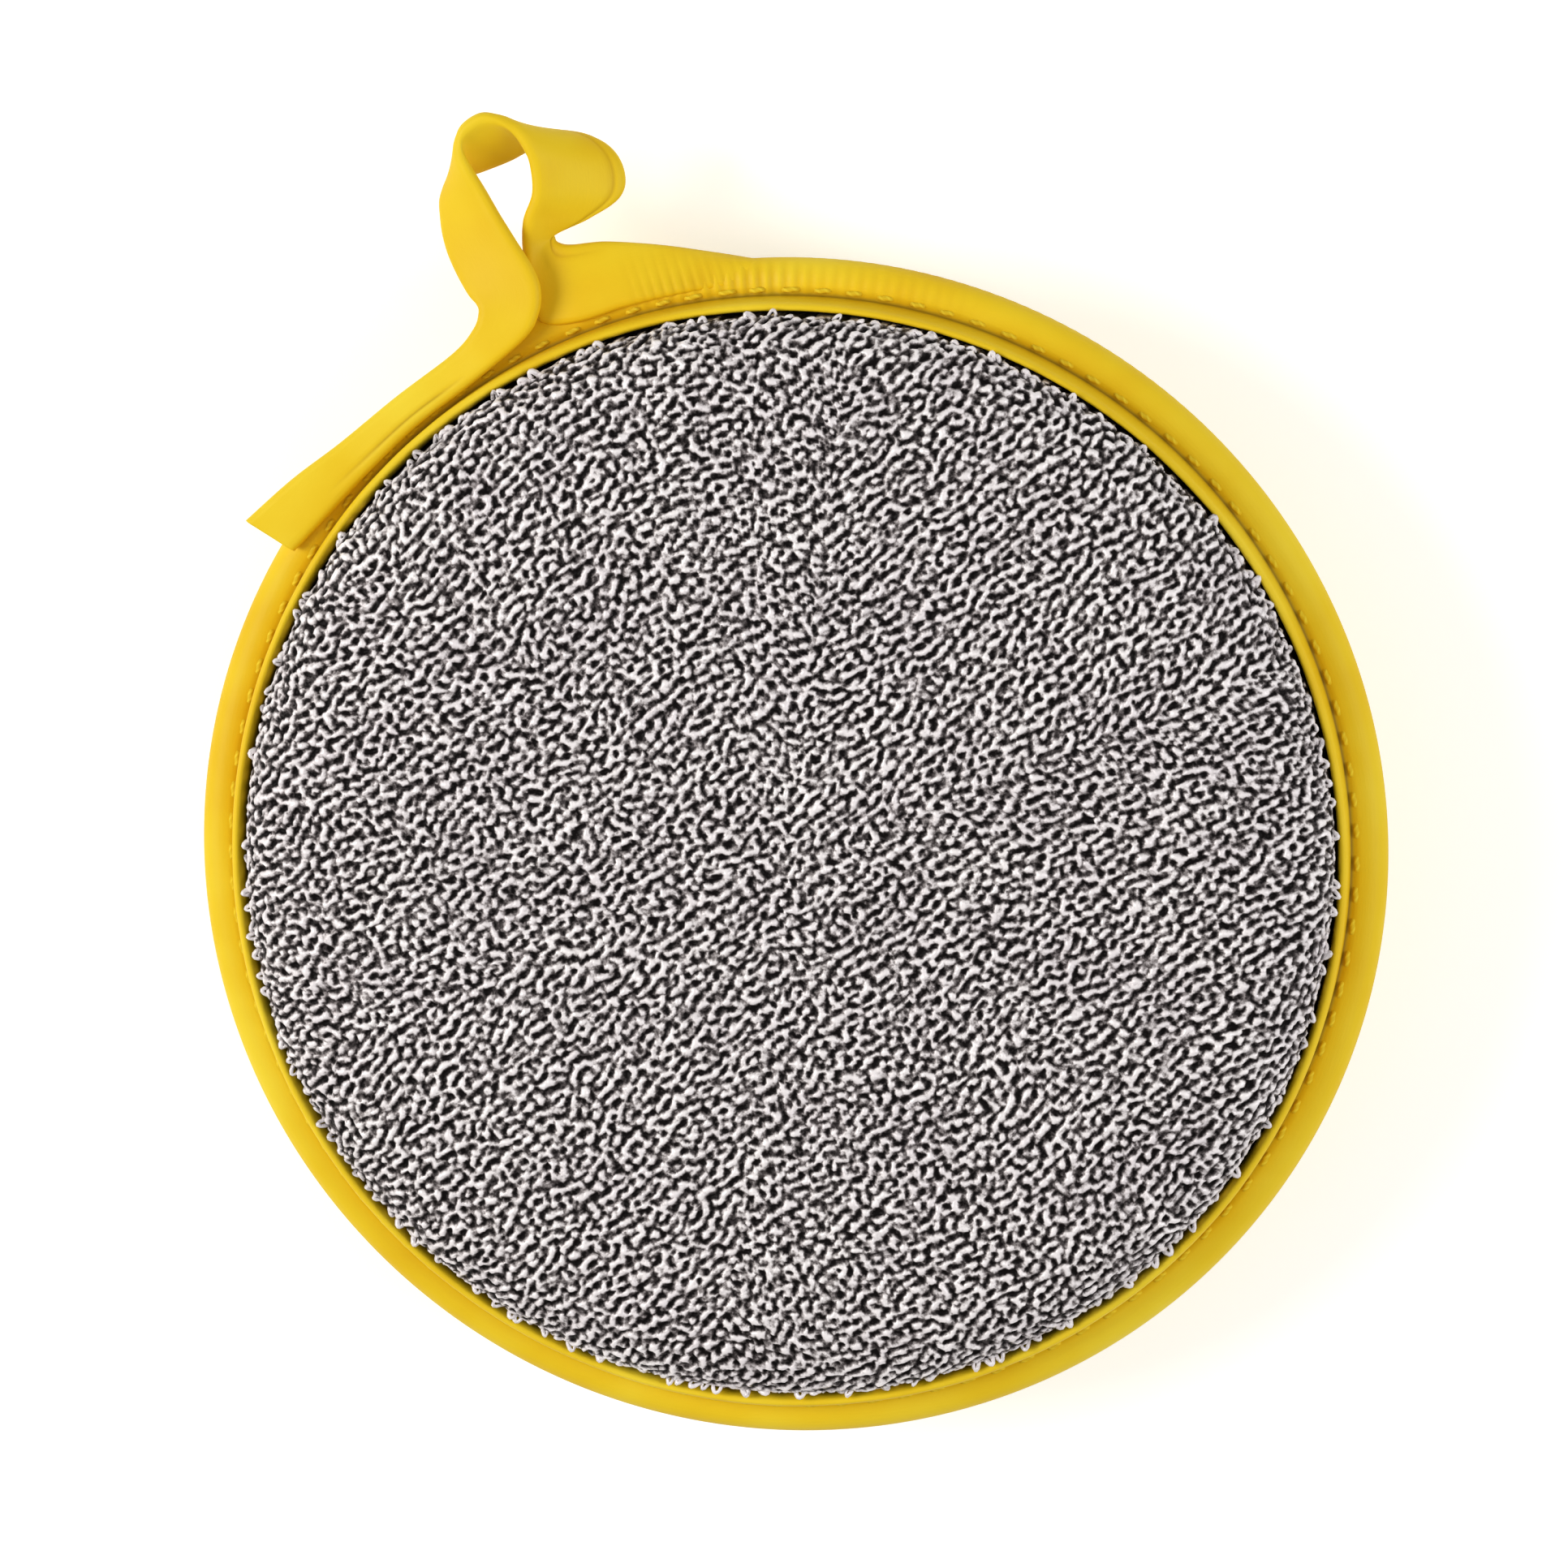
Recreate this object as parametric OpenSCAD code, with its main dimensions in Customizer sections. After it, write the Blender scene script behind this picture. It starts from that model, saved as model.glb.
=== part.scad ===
// Round two-sided cleaning sponge.
// A foam disc lies between a domed scouring cover and a flat soft cover. The covers' pressed rims
// meet in a seam. One folded tape binds the seam all the way round, leaves it to form a hanging
// loop, and ends in a free tail beside the rim. Stitches on the tape hold the seam together.
// The rest face is the plane z = 0, its centre is the origin, and the loop stands out along +Y.

/* [Sponge] */
// Widest diameter, over the edge tape
sponge_d = 120; // [100:1:160]
// Height from the rest face to the crown of the scouring face
sponge_h = 27; // [25:0.5:34]
// Height of the seam land, the flat strip of tape that the stitches lie on
seam_z = 16.3; // [15:0.1:18]
// Play between pieces that lie against each other in the seam
seat_gap = 0.1; // [0.08:0.01:0.14]

/* [Scouring cover] */
// Thickness of the knitted cover
scour_t = 1.4; // [1:0.1:2]
// Rise of the crown above the shoulder of the dome
crown_rise = 1.2; // [0.4:0.1:2]
// Spacing of the knitted wales
wale_pitch = 1.8; // [1.4:0.1:3]
// Width of one wale
wale_w = 0.9; // [0.5:0.05:1.1]
// Height of a wale above the cover
wale_h = 0.35; // [0.2:0.05:0.5]
// Direction of the wales, from +X
wale_angle = 17; // [0:1:90]

/* [Soft cover] */
// Thickness of the soft cover
soft_t = 1.2; // [0.8:0.1:1.6]
// Rounding between the rest face and the side wall
base_round = 4.5; // [3:0.1:5.5]
// Lean of the side wall, from upright
wall_lean = 25; // [12:1:32]
// Number of creases that the gathering leaves in the side wall
crease_count = 72; // [36:1:90]
// Deepest crease, at the tape
crease_depth = 0.55; // [0.3:0.05:0.7]

/* [Edge tape] */
// Thickness of the tape
tape_t = 0.9; // [0.7:0.05:1.1]
// Width of the tape on the scouring side, seen from above
binding_w = 5.1; // [4.4:0.1:5.6]
// Height of the lip above the seam land
lip_h = 4.2; // [3.2:0.1:5]
// Height of the skirt below the seam land
skirt_h = 8.5; // [7.5:0.1:9.5]
// How far the skirt turns in under the widest line
skirt_w = 8.3; // [7:0.1:9.5]
// Thickness of each cover where it is pressed in the seam
rim_t = 0.8; // [0.5:0.05:0.9]
// Spacing of the gathers in the skirt
gather_pitch = 1.8; // [1.5:0.1:3]
// Depth of a gather
gather_depth = 0.35; // [0.15:0.05:0.45]
// Length of each gathered stretch of the skirt, in degrees round the sponge
gather_arc = 54; // [30:1:70]

/* [Hanging loop] */
// Thickness of the tape folded into a strap
strap_t = 1.5; // [1.2:0.05:1.7]
// How far the loop stands out from the widest line
loop_reach = 21; // [18:0.5:30]
// Width across the loop
loop_span = 18.5; // [17:0.5:24]
// Length of the tail beside the rim
tail_len = 38; // [24:1:60]
// Width of the strap at the tail's cut end
tail_w = 5.8; // [4:0.1:7]

/* [Seam] */
// Thickness of the sewing thread
thread_d = 0.6; // [0.4:0.05:0.7]
// Visible length of one stitch
stitch_len = 1.9; // [1.4:0.1:2.4]
// Spacing of the stitches
stitch_pitch = 3.2; // [2.8:0.1:5]

/* [Hidden] */
$fn = 96;

// Levels of the seam and the tape
rim_outer = sponge_d / 2;
face_r = rim_outer - binding_w;
lip_z = seam_z + lip_h;
skirt_z = seam_z - skirt_h;
belly_z = seam_z - 1.9;

// Where the land meets the lip, the row of stitches beside it, and how far out from the widest line
// the strap's near edge lies at the root and on the tail
land_r = face_r + tape_t + 0.5;
stitch_r = land_r + 0.65;
root_near = stitch_r + 0.5 * thread_d + 0.35 - rim_outer;
tail_near = root_near - 0.5;

// Where the covers' rims lie inside the tape
rim_r = rim_outer - tape_t - 3 * seat_gap;
rim_top = seam_z - tape_t - seat_gap;
rim_z = rim_top - rim_t;

// Outer face of the scouring cover, just inside the lip
dome_r = face_r - seat_gap;
dome_foot = lip_z - 0.3;
lip_lean = 0.4;

// Side wall of the soft cover, just inside the skirt's lower edge, and the flat of its base
wall_r = rim_outer - skirt_w - seat_gap;
wall_h = skirt_z - base_round * (1 - sin(wall_lean));
base_r = wall_r - wall_h * tan(wall_lean) - base_round * cos(wall_lean);

function reversed(list) = [for (i = [len(list) - 1:-1:0]) list[i]];
function unit(v) = v / norm(v);

// Outline of a dome from its middle out to its edge: a low crown and a steep shoulder
function dome_line(edge, top) = [for (s = [0, 0.5, 0.74, 0.87, 0.94, 0.98, 1])
    [s * edge, dome_foot + (top - dome_foot - crown_rise) * sqrt(1 - pow(s, 9)) + crown_rise * (1 - s * s)]];

// Point on the skirt's curve, 0 at the widest line and 90 at the lower edge, inset into the sponge
function skirt_point(a, inset) = [
    rim_outer - skirt_w + (skirt_w - inset) * cos(a),
    belly_z - (belly_z - skirt_z - inset) * sin(a)
];

// Rounded corner from the rest face up to the side wall, inset into the cover
function base_corner(inset) = [for (s = [0:6]) let (a = s * (90 - wall_lean) / 6) [
    base_r + (base_round - inset) * sin(a),
    base_round - (base_round - inset) * cos(a)
]];

// Inside of the soft cover from the middle of the base up to the rim, moved in by play
function soft_inside(play) = concat(
    [[0, soft_t + play]],
    base_corner(soft_t + play),
    [for (a = [90, 60, 35, 20]) skirt_point(a, tape_t + seat_gap + soft_t + play)]
);
rim_inner = soft_inside(0)[11][0];

// Inside of the scouring cover from the middle of the dome down to the rim, moved in by play
function scour_inside(play) = concat(
    dome_line(dome_r - scour_t - play, sponge_h - wale_h - scour_t - play),
    [[dome_r - scour_t - play, rim_z - play]]
);

// Foam core: one disc of foam that fills the covers, thin at its edge
module foam_core() {
    color("ivory")
        rotate_extrude()
            polygon(concat(
                soft_inside(seat_gap),
                [[rim_inner - seat_gap, rim_z - seat_gap]],
                reversed(scour_inside(seat_gap))
            ));
}

// Scouring cover: knitted dome with raised wales, its rim pressed flat in the seam
module scouring_cover() {
    dome = dome_line(dome_r, sponge_h - wale_h);
    color("silver") {
        rotate_extrude()
            polygon(concat(
                dome,
                [[dome_r + lip_lean, rim_top], [rim_r, rim_top], [rim_r, rim_z]],
                reversed(scour_inside(0))
            ));
        wales(dome);
    }
}

// Straight diagonal wales that stand on the dome and run out at its edge
module wales(dome) {
    skin = [for (i = [0:len(dome) - 2]) dome[i]];
    root = 0.4;
    rows = floor(skin[len(skin) - 1][0] / wale_pitch);
    intersection() {
        rotate_extrude()
            polygon(concat([for (p = skin) p + [0, wale_h]], [for (p = reversed(skin)) p - [0, root]]));
        rotate([0, 0, wale_angle])
            for (i = [-rows:rows])
                translate([0, i * wale_pitch, sponge_h / 2])
                    cube([sponge_d, wale_w, sponge_h + 1], center = true);
    }
}

// Soft cover: flat base, rounded corner and creased side wall, its rim pressed flat in the seam
module soft_cover() {
    color("lemonchiffon")
        difference() {
            rotate_extrude()
                polygon(concat(
                    [[0, 0]],
                    base_corner(0),
                    [[wall_r, skirt_z], [wall_r, skirt_z + tape_t + seat_gap]],
                    [skirt_point(45, tape_t + seat_gap)],
                    [[rim_r - 0.3, rim_z - rim_t], [rim_r, rim_z], [rim_inner, rim_z]],
                    reversed(soft_inside(0))
                ));
            for (i = [0:crease_count - 1])
                crease(360 * i / crease_count + 1.4 * sin(i * 137), crease_depth * (0.7 + 0.3 * sin(i * 101)));
        }
}

// One crease: a groove that starts on the base corner and is deepest at the tape
module crease(a, depth) {
    crease_w = 1.5;
    foot = base_corner(-0.05)[4];
    rise = [wall_r - depth, skirt_z] - foot;
    rotate([0, 0, a])
        translate([foot[0], 0, foot[1]])
            rotate([0, atan2(rise[0], rise[1]), 0])
                linear_extrude(height = norm(rise) + 0.6 * tape_t)
                    polygon([[0, 0], [2 * depth, -crease_w], [2 * depth, crease_w]]);
}

// Section of the tape round the rim: skirt, land, lip, and the inside that holds the covers' rims.
// A gather's dip draws the skirt in.
function tape_section(dip) = [
    skirt_point(90, 0),
    skirt_point(60, 0) - [0.7 * dip, 0],
    skirt_point(32, 0) - [dip, 0],
    [rim_outer - 0.8 * dip, belly_z],
    [rim_outer - 0.8, seam_z],
    [land_r, seam_z],
    [land_r + 0.25, seam_z + 0.5 * lip_h],
    [face_r + 0.8, lip_z],
    [face_r, lip_z - 0.35],
    [face_r + lip_lean, seam_z - tape_t],
    [rim_r + seat_gap, seam_z - tape_t],
    skirt_point(0, tape_t),
    skirt_point(45, tape_t),
    skirt_point(90, tape_t)
];

// Stations round the rim, clockwise from the loop: angle and dip. Three stretches are gathered.
gather_start = 20;
gathers = floor(gather_arc * PI * rim_outer / 180 / gather_pitch);
smooth_steps = 12;
rim_stations = [for (third = [0:2]) each concat(
    [for (j = [0:2 * gathers - 1]) [
        gather_start + 120 * third + gather_arc * j / (2 * gathers),
        gather_depth * (j % 2) * sqrt(sin(90 * j / gathers))
    ]],
    [for (j = [0:smooth_steps - 1]) [
        gather_start + 120 * third + gather_arc + (120 - gather_arc) * j / smooth_steps,
        0
    ]]
)];

// Place of a point given along the rim, out from the widest line and up from the seam land.
// Along is positive towards +X and is measured at the widest line.
function from_loop_foot(p) = let (a = p[0] * 180 / PI / rim_outer)
    [(rim_outer + p[1]) * sin(a), (rim_outer + p[1]) * cos(a), seam_z + p[2]];

// Route of the strap. Each station gives its near edge, on the scouring side, its far edge and
// its thickness. Along, out and up are as above, and along and out grow with the loop's size.
wide = loop_span / 18.5;
reach = loop_reach / 21;
function loop_station(near, far) = [
    [near[0] * wide, near[1] * reach, near[2]],
    [far[0] * wide, far[1] * reach, far[2]],
    strap_t
];
rim_route = [
    [[21, root_near + 1.6, -0.6], [20, -0.5, -3], 0.3 * strap_t],
    [[16, root_near + 1.4, -0.1], [15, 0.9, -2.9], 0.7 * strap_t],
    [[11, root_near + 0.5, 0.3], [10.5, 2.6, -2.6], 0.9 * strap_t],
    [[6.4, root_near, 0.4], [6, 4.2, -2.2], strap_t],
    [[1.2, root_near, 0.3], [3.1, 5, -1.5], strap_t]
];
loop_route = [
    loop_station([-1.7, -0.7, -0.3], [2.1, 5.5, -1.5]),
    loop_station([-2, 2.6, -0.9], [1.7, 6.1, -1.8]),
    loop_station([-1.4, 6.2, -0.8], [2.2, 6.8, -2.5]),
    loop_station([-0.2, 9.1, -0.2], [5.6, 7.1, -3.2]),
    loop_station([1.5, 11.4, 0.3], [8.5, 8.4, -3.6]),
    loop_station([2.3, 14, 0.6], [9, 11.2, -4]),
    loop_station([2.6, 16.1, 0.9], [8, 14.1, -4.5]),
    loop_station([2.2, 18.1, 1.1], [5.8, 16.2, -4.9]),
    loop_station([1.4, 19.8, 1.1], [3.2, 17, -5]),
    loop_station([0.1, 20.8, 1], [0.5, 16.8, -5]),
    loop_station([-1.4, 20.3, 0.9], [-2.3, 16.9, -4.9]),
    loop_station([-2.2, 18.6, 0.9], [-4.4, 16.3, -4.7]),
    loop_station([-2.4, 16.2, 0.9], [-6.1, 14.4, -4.1]),
    loop_station([-2.1, 13.6, 0.9], [-7.1, 12.1, -3.5]),
    loop_station([-1.8, 10.8, 1.1], [-7.7, 9.7, -2.7]),
    loop_station([-1.4, 8, 1.3], [-7.9, 7.2, -1.7]),
    loop_station([-0.8, 4.8, 1.6], [-7.7, 4.8, -0.4]),
    loop_station([-1.1, 2.4, 1.8], [-7.4, 3.6, 0.3]),
    loop_station([-2.4, 0.2, 1.8], [-7.6, 2.8, 0.6]),
    loop_station([-4.6, -1.6, 1.6], [-8.8, 1.7, 0.7])
];
tail_start = 9 * wide;
tail_mid_w = 3.6;
tail_route = [for (s = [0.1, 0.35, 0.6, 0.8, 1])
    let (
        along = -tail_start - s * (tail_len - tail_start),
        flare = max(0, s - 0.4) / 0.6,
        near = tail_near + 1.4 * pow(flare, 3),
        w = tail_mid_w + (tail_w - tail_mid_w) * (3 - 2 * flare) * flare * flare
    )
    [[along, near, 1.3], [along, near + w, 0.5], strap_t]
];
strap_route = [for (s = concat(rim_route, loop_route, tail_route))
    [from_loop_foot(s[0]), from_loop_foot(s[1]), s[2]]];

// Smooth curve through the stations, two steps to a station
strap_steps = 2;
function held(i) = strap_route[min(max(i, 0), len(strap_route) - 1)];
function smooth(i, s, k) = let (a = held(i - 1)[k], b = held(i)[k], c = held(i + 1)[k], d = held(i + 2)[k])
    b + 0.5 * s * (c - a + s * (2 * a - 5 * b + 4 * c - d + s * (3 * b - a - 3 * c + d)));
strap_stations = concat(
    [for (i = [0:len(strap_route) - 2]) for (s = [0:strap_steps - 1])
        [for (k = [0:2]) smooth(i, s / strap_steps, k)]],
    [strap_route[len(strap_route) - 1]]
);

// Section of the strap at a station: a flat strip with rounded edges
function strap_middle(i) = (strap_stations[i][0] + strap_stations[i][1]) / 2;
function strap_section(i) = let (
        last = len(strap_stations) - 1,
        near = strap_stations[i][0],
        far = strap_stations[i][1],
        t = strap_stations[i][2],
        ahead = unit(strap_middle(min(i + 1, last)) - strap_middle(max(i - 1, 0))),
        across = unit(near - far),
        face = unit(cross(ahead, across)),
        edge = 0.5 * t * across,
        half = 0.42 * t * face
    ) [
        near,
        near - edge + half,
        (near + far) / 2 + 0.5 * t * face,
        far + edge + half,
        far,
        far + edge - half,
        (near + far) / 2 - 0.5 * t * face,
        near - edge - half
    ];

// Skin between rows of points, each row a closed outline of the same number of points
function skin_faces(rows, points, closed) = [
    for (i = [0:rows - (closed ? 1 : 2)]) for (j = [0:points - 1]) each
        let (
            a = i * points + j,
            b = i * points + (j + 1) % points,
            c = (i + 1) % rows * points + j,
            d = (i + 1) % rows * points + (j + 1) % points
        )
        [[a, d, b], [a, c, d]]
];

// Edge tape: one strip of cloth. It binds the rim, makes the loop and ends in the tail.
module edge_tape() {
    section = len(tape_section(0));
    color("gold") {
        polyhedron(
            [for (s = rim_stations) for (p = tape_section(s[1])) [p[0] * sin(s[0]), p[0] * cos(s[0]), p[1]]],
            skin_faces(len(rim_stations), section, true)
        );
        rows = len(strap_stations);
        points = 8;
        polyhedron(
            [for (i = [0:rows - 1]) each strap_section(i)],
            concat(
                skin_faces(rows, points, false),
                [[for (j = [0:points - 1]) j], [for (j = [points - 1:-1:0]) (rows - 1) * points + j]]
            )
        );
    }
}

// Seam thread: the stitches that show, half round, on the seam land beside the lip
module seam_thread() {
    count = floor(2 * PI * stitch_r / stitch_pitch);
    color("gold")
        for (i = [0:count - 1])
            rotate([0, 0, -360 * i / count])
                translate([0, stitch_r, seam_z])
                    stitch();
}

module stitch() {
    intersection() {
        rotate([0, 90, 0])
            cylinder(h = stitch_len, d = thread_d, center = true, $fn = 24);
        translate([-stitch_len / 2, -thread_d / 2, 0])
            cube([stitch_len, thread_d, thread_d]);
    }
}

foam_core();
scouring_cover();
soft_cover();
edge_tape();
seam_thread();
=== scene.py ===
import bpy
import math
import numpy as np
from mathutils import Matrix, Vector


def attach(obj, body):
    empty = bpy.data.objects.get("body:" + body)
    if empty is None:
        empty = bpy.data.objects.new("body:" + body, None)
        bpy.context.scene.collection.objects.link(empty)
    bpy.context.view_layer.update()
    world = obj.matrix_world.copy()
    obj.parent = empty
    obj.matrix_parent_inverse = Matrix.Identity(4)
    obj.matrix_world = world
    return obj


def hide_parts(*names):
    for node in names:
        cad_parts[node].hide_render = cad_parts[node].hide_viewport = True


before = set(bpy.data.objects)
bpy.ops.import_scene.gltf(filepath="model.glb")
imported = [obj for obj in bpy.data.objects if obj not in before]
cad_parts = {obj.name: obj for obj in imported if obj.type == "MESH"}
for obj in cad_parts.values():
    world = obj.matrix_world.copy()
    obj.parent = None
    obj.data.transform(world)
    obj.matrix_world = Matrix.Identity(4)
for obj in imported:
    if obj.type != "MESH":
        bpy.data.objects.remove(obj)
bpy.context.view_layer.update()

# Foam core
# One disc of open-cell polyurethane foam, cut round. It gives the sponge its bulk and spring.
# The covers close over it, and nothing of it shows from outside.

CELLS_PER_METRE = 900
# The pore colour is painted shade in the cells' hollows; the wall colour is the foam's own.
PORE_SHADE = (0.55, 0.5, 0.36)
CELL_WALL = (0.82, 0.78, 0.62)


def new_material(name, roughness):
    material = bpy.data.materials.new(name)
    material.use_nodes = True
    shader = material.node_tree.nodes["Principled BSDF"]
    shader.inputs["Roughness"].default_value = roughness
    return material, shader


def add_node(material, kind, **values):
    node = material.node_tree.nodes.new(kind)
    for name, value in values.items():
        setattr(node, name, value)
    return node


def join(material, source, target):
    material.node_tree.links.new(source, target)


def object_place(material):
    """Where a point lies on the sponge, in metres."""
    return add_node(material, "ShaderNodeTexCoord").outputs["Object"]


def ramp(material, level, stops):
    """A colour that follows a level through stops, each a level and its colour."""
    node = add_node(material, "ShaderNodeValToRGB")
    bar = node.color_ramp.elements
    while len(bar) < len(stops):
        bar.new(0.5)
    for element, (position, colour) in zip(bar, stops):
        element.position = position
        element.color = (*colour, 1)
    join(material, level, node.inputs["Fac"])
    return node.outputs["Color"]


def bump(material, shader, height, strength, distance):
    node = add_node(material, "ShaderNodeBump")
    node.inputs["Strength"].default_value = strength
    node.inputs["Distance"].default_value = distance
    join(material, height, node.inputs["Height"])
    join(material, node.outputs["Normal"], shader.inputs["Normal"])


foam, foam_shader = new_material("open_cell_foam", 0.9)
foam_cells = add_node(foam, "ShaderNodeTexVoronoi")
foam_cells.inputs["Scale"].default_value = CELLS_PER_METRE
join(foam, object_place(foam), foam_cells.inputs["Vector"])
foam_colour = ramp(foam, foam_cells.outputs["Distance"], [(0.05, PORE_SHADE), (0.45, CELL_WALL)])
join(foam, foam_colour, foam_shader.inputs["Base Color"])
bump(foam, foam_shader, foam_cells.outputs["Distance"], 0.8, 0.0006)
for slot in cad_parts["foam_core"].material_slots:
    slot.material = foam

# Scouring cover
# A coarse knit of metallised silver yarn, domed over the foam. Its short loops stand up as bright
# winding ridges, and the near-black of the hollows between them is painted shade. Its rim is pressed
# flat and sewn in the seam.

# Sizes of the mesh are in millimetres, and directions in degrees. The shoulder is a power: the
# higher it is, the steeper the dome falls to its foot.
DOME_EDGE = 54.9
DOME_TOP = 26.75
DOME_FOOT = 20.1
CROWN = 1.2
SHOULDER = 9
COVER_THICK = 1.8
INSIDE_EDGE = 53.7
POINT_STEP = 0.345
RIDGE_PERIOD = 1.12
RIDGE_HEIGHT = 0.42
RIDGE_LEAN = 19
CROSS_PERIOD = 1.25 * RIDGE_PERIOD
CROSS_SHARE = 0.4
LUMP_PERIOD = 7
LUMP_HEIGHT = 0.09
RIM_POINTS = 320
INSIDE_POINTS = 240
EDGE_LOOPS = 260
LOOP_RINGS = 7
LOOP_SIDES = 5

# Level of the yarn where no light reaches it, and the tint's middle
HIDDEN_YARN = -0.5
EVEN_TINT = 0.5

# From the hollows between the ridges to the ridges' tops. The near-black low end is painted shade in
# the hollows; the top end is the yarn's own silver.
KNIT_COLOURS = [
    (0.14, (0.0065, 0.005, 0.005)), (0.36, (0.07, 0.06, 0.06)), (0.53, (0.31, 0.281, 0.279)),
    (0.7, (0.765, 0.724, 0.727)), (0.87, (0.985, 0.94, 0.945))]
KNIT_TINTS = [(0.1, (0.9, 0.875, 0.885)), (0.9, (1, 0.99, 0.98))]


def wave_grid(width, cells):
    """Waves per millimetre along x and y, for each cell of a square field's spectrum."""
    waves = np.fft.fftfreq(cells, width / cells)
    return np.meshgrid(waves, waves)


def knit_relief(width, period, lean, seed):
    """Winding ridges a period apart that mostly run along one direction, as a knit's loops do."""
    cells = 900
    field = np.random.default_rng(seed).standard_normal((cells, cells))
    wave_x, wave_y = wave_grid(width, cells)
    off_period = (np.hypot(wave_x, wave_y) - 1 / period) / (0.7 / period)
    along = np.cos(np.arctan2(wave_y, wave_x) - lean - math.pi / 2)
    kept = np.exp(-(off_period ** 2)) * (0.6 + 0.4 * along ** 4)
    for sweep in range(2):
        field = np.fft.ifft2(np.fft.fft2(field) * kept).real
        field = np.tanh(1.1 * field / field.std())
    return field


def slow_noise(width, period, seed):
    """Soft lumps about a period across."""
    cells = 256
    field = np.random.default_rng(seed).standard_normal((cells, cells))
    wave_x, wave_y = wave_grid(width, cells)
    kept = np.exp(-(np.hypot(wave_x, wave_y) * period) ** 2)
    field = np.fft.ifft2(np.fft.fft2(field) * kept).real
    return field / field.std()


def sample(field, width, x, y):
    """Level of a square field at places x and y from its middle."""
    cells = len(field)
    u = np.clip((x / width + 0.5) * (cells - 1), 0, cells - 1.001)
    v = np.clip((y / width + 0.5) * (cells - 1), 0, cells - 1.001)
    i, j = u.astype(int), v.astype(int)
    s, t = u - i, v - j
    return ((field[j, i] * (1 - s) + field[j, i + 1] * s) * (1 - t)
            + (field[j + 1, i] * (1 - s) + field[j + 1, i + 1] * s) * t)


def dome_height(share):
    """Height of the dome at a share of its radius: a steep round shoulder below a slight crown."""
    share = np.clip(share, 0, 1)
    shoulder = (DOME_TOP - DOME_FOOT - CROWN) * np.sqrt(1 - share ** SHOULDER)
    return DOME_FOOT + shoulder + CROWN * (1 - share * share)


def even_turns(count):
    return 2 * math.pi * np.arange(count) / count


def ring_of_points(radius, height, turn):
    """One point at each turn, with one radius and height for all or for each."""
    height = np.broadcast_to(height, turn.shape)
    return np.stack([radius * np.cos(turn), radius * np.sin(turn), height], 1).tolist()


def zip_rings(counts):
    """Triangles between rings of points that hold different counts. A count of 1 is a middle point."""
    starts = np.concatenate([[0], np.cumsum(counts)])
    faces = []
    for ring in range(len(counts) - 1):
        a, b = counts[ring], counts[ring + 1]
        p, q = int(starts[ring]), int(starts[ring + 1])
        i = j = 0
        while i < a or j < b:
            if a > 1 and (j >= b or (i < a and (i + 1) / a <= (j + 1) / b)):
                faces.append((p + i % a, q + j % b, p + (i + 1) % a))
                i += 1
            elif b > 1 and j < b:
                faces.append((p + i % a, q + j % b, q + (j + 1) % b))
                j += 1
            else:
                break
    return faces


def tube_faces(first, rings, sides):
    """Faces of a closed tube whose points, ring after ring, start at the one numbered first."""
    faces = []
    for ring in range(rings - 1):
        for side in range(sides):
            a = first + ring * sides + side
            b = first + ring * sides + (side + 1) % sides
            faces.append((a, b, b + sides, a + sides))
    last = first + (rings - 1) * sides
    faces.append(tuple(range(first, first + sides))[::-1])
    faces.append(tuple(range(last, last + sides)))
    return faces


def make_piece(name, points, faces, material, values):
    """A smooth piece from points in millimetres, with values stored at the points."""
    mesh = bpy.data.meshes.new(name)
    mesh.from_pydata((np.asarray(points) * 0.001).tolist(), [], faces)
    mesh.polygons.foreach_set("use_smooth", [True] * len(mesh.polygons))
    for key, numbers in values.items():
        layer = mesh.attributes.new(key, "FLOAT", "POINT")
        layer.data.foreach_set("value", np.asarray(numbers, dtype=np.float32))
    mesh.materials.append(material)
    mesh.update()
    piece = bpy.data.objects.new(name, mesh)
    bpy.context.scene.collection.objects.link(piece)
    return piece


def noise(material, place, scale, detail, roughness):
    node = add_node(material, "ShaderNodeTexNoise")
    node.inputs["Scale"].default_value = scale
    node.inputs["Detail"].default_value = detail
    node.inputs["Roughness"].default_value = roughness
    join(material, place, node.inputs["Vector"])
    return node.outputs["Fac"]


def point_value(material, name):
    """A value that make_piece stored at the points."""
    return add_node(material, "ShaderNodeAttribute", attribute_name=name).outputs["Fac"]


def scaled(material, level, factor, offset):
    node = add_node(material, "ShaderNodeMath", operation="MULTIPLY_ADD")
    join(material, level, node.inputs[0])
    node.inputs[1].default_value = factor
    node.inputs[2].default_value = offset
    return node.outputs["Value"]


def multiplied(material, colour, shade):
    node = add_node(material, "ShaderNodeMix", data_type="RGBA", blend_type="MULTIPLY")
    node.inputs["Factor"].default_value = 1.0
    join(material, colour, node.inputs[6])
    join(material, shade, node.inputs[7])
    return node.outputs[2]


# Rings of points, evenly spaced along the dome from its top to its edge
line_share = 1 - (1 - np.linspace(0, 1, 4000)) ** 3
line_r, line_z = line_share * DOME_EDGE, dome_height(line_share)
line_length = np.concatenate([[0], np.cumsum(np.hypot(np.diff(line_r), np.diff(line_z)))])
dome_length = line_length[-1]
ring_length = np.linspace(0, dome_length, int(dome_length / POINT_STEP) + 1)[1:]
ring_r = np.interp(ring_length, line_length, line_r)
ring_z = np.interp(ring_length, line_length, line_z)
slope_r = np.gradient(ring_r, ring_length)
slope_z = np.gradient(ring_z, ring_length)
counts = [1] + [max(6, int(round(2 * math.pi * r / POINT_STEP))) for r in ring_r]

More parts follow.
